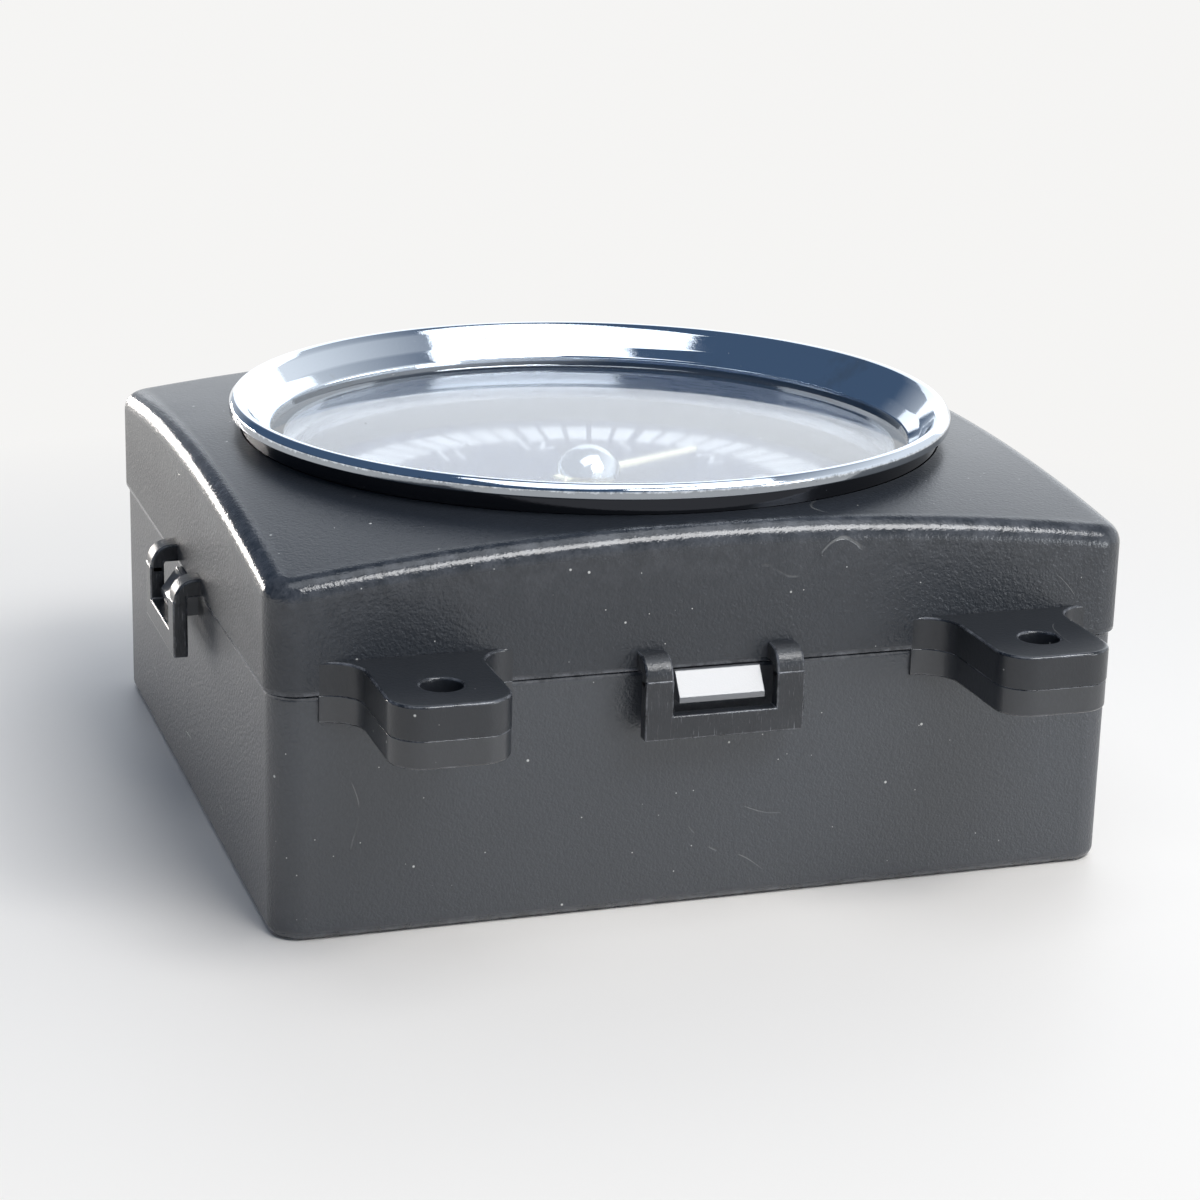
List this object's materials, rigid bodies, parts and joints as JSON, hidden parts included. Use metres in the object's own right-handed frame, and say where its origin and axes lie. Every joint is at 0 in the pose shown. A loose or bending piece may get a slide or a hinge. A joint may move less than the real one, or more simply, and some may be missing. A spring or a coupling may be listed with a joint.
{
  "type": "dashboard clock",
  "caption": "Analogue clock in a domed square plastic case with snap catches and mounting tabs, chrome bezel, glass, hands and a geared quartz movement.",
  "frame": {"origin": "where the hands' axis meets the flat back face of the case", "axes": "+Z along the hands' axis out of the dial; +Y towards twelve o'clock; the tabs stand out along -Y"},
  "size_m": [0.0854, 0.091, 0.0384],
  "materials": {
    "front_shell_plastic": "fine spark-grained black moulding, satin on the top",
    "rear_shell_plastic": "fine spark-grained black moulding",
    "bezel_chrome": "polished plating, lightly worn",
    "lens_glass": "clear, slightly dusty",
    "gasket_rubber": "matt",
    "silver_ring": "satin silver",
    "dial_face": "printed matt navy",
    "clear_plastic": "clear",
    "white_plastic": "moulded",
    "screw_steel": "zinc plated",
    "hand_paint": "matt cream paint",
    "cap_chrome": "polished",
    "shaft_steel": "ground",
    "wheel_brass": "turned and hobbed",
    "magnet": "sintered",
    "lamination": "stamped",
    "bobbin_plastic": "moulded",
    "copper_wire": "enamelled copper",
    "contact_metal": "tinned",
    "plate_metal": "stamped plate",
    "board_laminate": "green solder mask",
    "chip_plastic": "moulded",
    "can_metal": "drawn can",
    "capacitor_sleeve": "shrink sleeve",
    "led_lens": "clear resin",
    "socket_nylon": "moulded nylon"
  },
  "bodies": {
    "case": {"front_housing": "front_shell_plastic", "rear_housing": "rear_shell_plastic", "bezel_ring": "bezel_chrome", "lens": "lens_glass", "lens_gasket": "gasket_rubber", "dial_ring": "silver_ring", "dial": "dial_face", "light_guide": "clear_plastic", "dial_carrier": "white_plastic", "carrier_screws": "screw_steel", "minute_post": "shaft_steel", "stator": "lamination", "stator_screws": "screw_steel", "coil_core": "lamination", "coil_bobbin": "bobbin_plastic", "coil_winding": "copper_wire", "coil_terminals": "contact_metal", "movement_front_plate": "plate_metal", "movement_back_plate": "plate_metal", "movement_pillars": "wheel_brass", "movement_screws": "screw_steel", "circuit_board": "board_laminate", "board_screws": "screw_steel", "controller_chip": "chip_plastic", "quartz_crystal": "can_metal", "capacitor": "capacitor_sleeve", "chip_resistors": "chip_plastic", "dial_leds": "led_lens", "connector_socket": "socket_nylon", "connector_pins": "contact_metal"},
    "minute_body": {"centre_arbor": "shaft_steel", "centre_wheel": "wheel_brass", "cannon_pinion": "wheel_brass", "minute_hand": "hand_paint", "hand_cap": "cap_chrome"},
    "hour_body": {"hour_wheel": "wheel_brass", "hour_hand": "hand_paint"},
    "minute_wheel_body": {"minute_wheel": "wheel_brass"},
    "intermediate_body": {"intermediate_wheel": "wheel_brass"},
    "rotor_body": {"rotor_shaft": "shaft_steel", "rotor_magnet": "magnet"}
  },
  "joints": [
    {"name": "minute_turn", "type": "hinge", "parent": "case", "child": "minute_body", "pos_m": [0, 0, 0.0172], "axis": [0, 0, -1], "continuous": true},
    {"name": "hour_turn", "type": "hinge", "parent": "case", "child": "hour_body", "pos_m": [0, 0, 0.0232], "axis": [0, 0, -1], "continuous": true},
    {"name": "minute_wheel_turn", "type": "hinge", "parent": "case", "child": "minute_wheel_body", "pos_m": [-0.0053, 0.0053, 0.0217], "axis": [0, 0, -1], "continuous": true},
    {"name": "intermediate_turn", "type": "hinge", "parent": "case", "child": "intermediate_body", "pos_m": [0, -0.0108, 0.0162], "axis": [0, 0, -1], "continuous": true},
    {"name": "rotor_turn", "type": "hinge", "parent": "case", "child": "rotor_body", "pos_m": [0.00827, -0.01226, 0.0152], "axis": [0, 0, -1], "continuous": true}
  ],
  "couplings": [
    {"joint": "hour_turn", "follows": "minute_turn", "ratio": 0.083333},
    {"joint": "minute_wheel_turn", "follows": "minute_turn", "ratio": -0.33333},
    {"joint": "intermediate_turn", "follows": "minute_turn", "ratio": -5},
    {"joint": "rotor_turn", "follows": "minute_turn", "ratio": 30}
  ]
}
